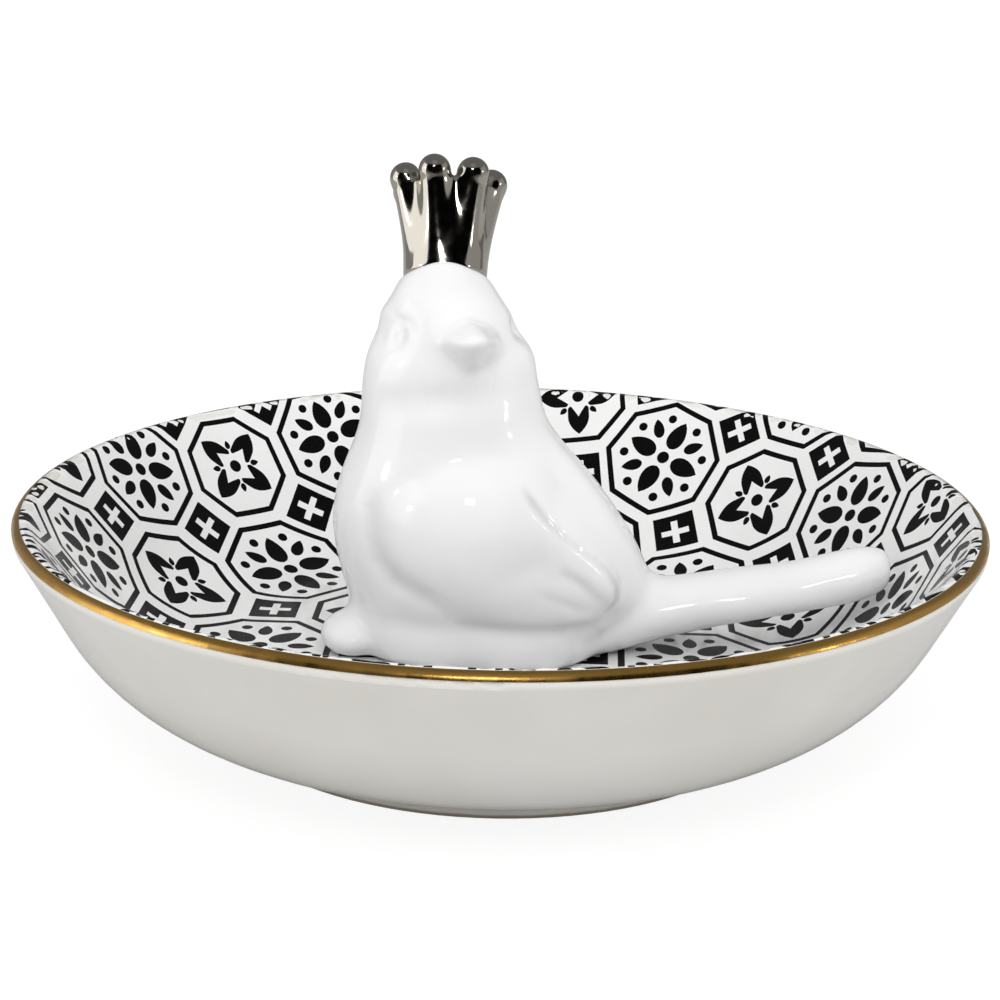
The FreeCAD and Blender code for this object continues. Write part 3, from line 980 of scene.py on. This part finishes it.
class RINGDISH_OT_crown(bpy.types.Operator):
    """Cast and lustre the crown."""

    bl_idname = "ringdish.crown"
    bl_label = "Crown"

    def execute(self, context):
        settings = context.scene.ring_dish
        sizes = settings.crown
        field, first, cells = level_set("crown", sizes.grain, sizes.reach)
        places = self.own_places(cell_places(field, first, sizes.grain))
        self.cuff(field, places, sizes.cuff / MM)
        field = blurred(field, sizes.soften, sizes.grain)
        self.columns(field, places, sizes)
        points, faces = skin(field, first, cells)
        finish = platinum_lustre(settings.colours)
        new_piece("lustred_crown", points, faces, [finish], ["crown"])
        dress("crown_bond", fired_slip(settings.colours))
        return {"FINISHED"}

    @staticmethod
    def own_places(places):
        """Coordinates of the cells in the crown's own frame, whose third axis is the crown's."""
        x, y, z = (p - s for p, s in zip(places, CROWN_SEAT))
        c, s = math.cos(CROWN_LEAN), math.sin(CROWN_LEAN)
        return x, c * y - s * z, s * y + c * z

    @staticmethod
    def cuff(field, places, half):
        """Runs the lustre over the seam, flush with the crown's foot."""
        x, y, height = places
        radius, breadth = CROWN_FOOT
        wall = np.abs(np.hypot(x, y) - radius) - breadth
        np.minimum(field, np.maximum(wall, np.abs(height) - half), out=field)

    @staticmethod
    def columns(field, places, sizes):
        """Runs each knob down the wall as a column."""
        top_reach, top_height, top_radius = COLUMN_TOP
        foot_reach, foot_height, foot_radius = COLUMN_FOOT
        for k in range(sizes.points):
            t = 2 * math.pi * k / sizes.points + sizes.turn
            outwards = np.array((math.sin(t), -math.cos(t), 0))
            top = top_reach * outwards + (0, 0, top_height)
            run = foot_reach * outwards + (0, 0, foot_height) - top
            along = np.clip(sum((p - a) * r for p, a, r in zip(places, top, run)) / (run @ run), 0, 1)
            away = np.sqrt(sum((p - a - along * r) ** 2 for p, a, r in zip(places, top, run)))
            radius = top_radius + along * (foot_radius - top_radius)
            merge(field, away - radius, sizes.merge / MM)


class RINGDISH_OT_stage(bpy.types.Operator):
    """Set the floor, the surroundings, the lights and the camera."""

    bl_idname = "ringdish.stage"
    bl_label = "Stage"

    def execute(self, context):
        settings = context.scene.ring_dish
        self.floor(settings)
        self.mirrored_room()
        self.surroundings(context.scene, settings.stage)
        self.lights(settings.stage)
        self.camera(context.scene, settings.stage)
        context.scene.view_settings.view_transform = "Standard"
        return {"FINISHED"}

    @staticmethod
    def add_stage(name, points, faces, material):
        """Mesh that belongs to the stage."""
        mesh = bpy.data.meshes.new(name)
        mesh.from_pydata(points, [], faces)
        mesh.materials.append(material)
        piece = linked(name, mesh)
        return piece

    def floor(self, settings):
        half = FLOOR_HALF
        corners = [(-half, -half, 0), (half, -half, 0), (half, half, 0), (-half, half, 0)]
        finish = stage_floor(settings.colours, settings.stage.floor_glow)
        self.add_stage("floor", corners, [(0, 1, 2, 3)], finish)

    def mirrored_room(self):
        """Dark cloth in front and lit panels at the sides and above, which only the gloss shows."""
        self.curtain("front_cloth", CLOTH_ANGLES, CLOTH_HEIGHTS, dark_cloth())
        for name, angles, brightness in PANELS:
            self.curtain(name, angles, PANEL_HEIGHTS, lit_panel(name.replace("_", " "), brightness))
        above = lit_panel("top panel", TOP_PANEL_BRIGHTNESS)
        self.for_mirrors(self.add_stage("top_panel", TOP_PANEL, [(0, 1, 2, 3)], above))

    def curtain(self, name, angles, heights, material):
        """Upright curved sheet between two angles from the front and two heights."""
        count = 32
        turns = np.radians(np.linspace(*angles, count))
        points = [(MIRROR_RADIUS * math.sin(t), -MIRROR_RADIUS * math.cos(t), z)
                  for z in heights for t in turns]
        faces = [(i, i + 1, count + i + 1, count + i) for i in range(count - 1)]
        self.for_mirrors(self.add_stage(name, points, faces, material))

    @staticmethod
    def for_mirrors(piece):
        """Hides a sheet from all but the reflections."""
        piece.visible_camera = False
        piece.visible_diffuse = False
        piece.visible_shadow = False

    def surroundings(self, scene, stage):
        """White to the camera, dimmer as light on the object and dimmest in its reflections."""
        world = bpy.data.worlds.new("white studio")
        world.use_nodes = True
        tree = world.node_tree
        tree.nodes.clear()
        path = add(tree, "ShaderNodeLightPath")
        mirrored = add(tree, "ShaderNodeMapRange", {"Value": path.outputs["Is Glossy Ray"],
                                                   "To Min": stage.sky, "To Max": stage.room})
        level = add(tree, "ShaderNodeMapRange", {"Value": path.outputs["Is Camera Ray"],
                                                "To Min": mirrored.outputs[0], "To Max": 1.0})
        light = add(tree, "ShaderNodeBackground", {"Color": (1, 1, 1, 1), "Strength": level.outputs[0]})
        add(tree, "ShaderNodeOutputWorld", {"Surface": light.outputs[0]})
        scene.world = world

    def lights(self, stage):
        self.sun("top_light", *TOP_LIGHT, stage.top)
        pairs = ((self.sun, "key_light", KEY_LIGHT, stage.key),
                 (self.sun, "front_light", FRONT_LIGHT, stage.front),
                 (self.area, "strip_light", STRIP_LIGHT, stage.strip))
        for side, side_name in ((-1, "left"), (1, "right")):
            for kind, name, ((x, y, z), extent), level in pairs:
                kind(name + "_" + side_name, (side * x, y, z), extent, level)
        self.area("spot_light", *SPOT_LIGHT, stage.spot)

    @staticmethod
    def lamp(name, kind, place):
        """Light that points at the object."""
        light = bpy.data.lights.new(name, kind)
        lamp = linked(name, light)
        lamp.location = place
        lamp.rotation_euler = (Vector(LIGHTS_AIM) - Vector(place)).to_track_quat("-Z", "Y").to_euler()
        return lamp, light

    def sun(self, name, place, spread, level):
        """Soft light from far away, which the gloss doesn't mirror."""
        lamp, light = self.lamp(name, "SUN", place)
        light.energy = level
        light.angle = math.radians(spread)
        lamp.visible_glossy = False

    def area(self, name, place, extent, watts):
        """Small lamp, which the gloss mirrors as a sparkle."""
        light = self.lamp(name, "AREA", place)[1]
        light.shape = "RECTANGLE"
        light.size, light.size_y = extent
        light.energy = watts

    def camera(self, scene, stage):
        """Camera at the photograph's place."""
        data = bpy.data.cameras.new("camera")
        data.sensor_width = 36
        data.lens = stage.camera_lens
        data.clip_start, data.clip_end = 0.01, 20
        camera = linked("camera", data)
        aim = Vector((stage.aim_x, 0, stage.aim_z))
        back = Vector((0, -math.cos(stage.camera_elevation), math.sin(stage.camera_elevation)))
        camera.location = aim + back * stage.camera_distance
        camera.rotation_mode = "QUATERNION"
        roll = Quaternion((0, 0, 1), stage.camera_roll)
        camera.rotation_quaternion = (-back).to_track_quat("-Z", "Y") @ roll
        scene.camera = camera


class RINGDISH_PT_panel(bpy.types.Panel):
    """Pieces of the ring dish, in the order they are made."""

    bl_label = "Ring dish"
    bl_space_type = "VIEW_3D"
    bl_region_type = "UI"
    bl_category = "Ring dish"

    def draw(self, context):
        for operator in OPERATORS:
            self.layout.operator(operator.bl_idname)


GROUPS = (BowlSizes, PrintSizes, BirdSizes, CrownSizes, Colours, StageSizes, RingDishSettings)
OPERATORS = (RINGDISH_OT_bowl, RINGDISH_OT_print, RINGDISH_OT_gilding, RINGDISH_OT_bird, RINGDISH_OT_crown,
             RINGDISH_OT_stage)
CLASSES = GROUPS + OPERATORS + (RINGDISH_PT_panel,)


def register():
    for cls in CLASSES:
        bpy.utils.register_class(cls)
    bpy.types.Scene.ring_dish = bpy.props.PointerProperty(type=RingDishSettings)


def unregister():
    del bpy.types.Scene.ring_dish
    for cls in reversed(CLASSES):
        bpy.utils.unregister_class(cls)


def main():
    register()
    bpy.ops.ringdish.bowl()
    bpy.ops.ringdish.print()
    bpy.ops.ringdish.gilding()
    bpy.ops.ringdish.bird()
    bpy.ops.ringdish.crown()
    bpy.ops.ringdish.stage()


if __name__ == "__main__":
    main()
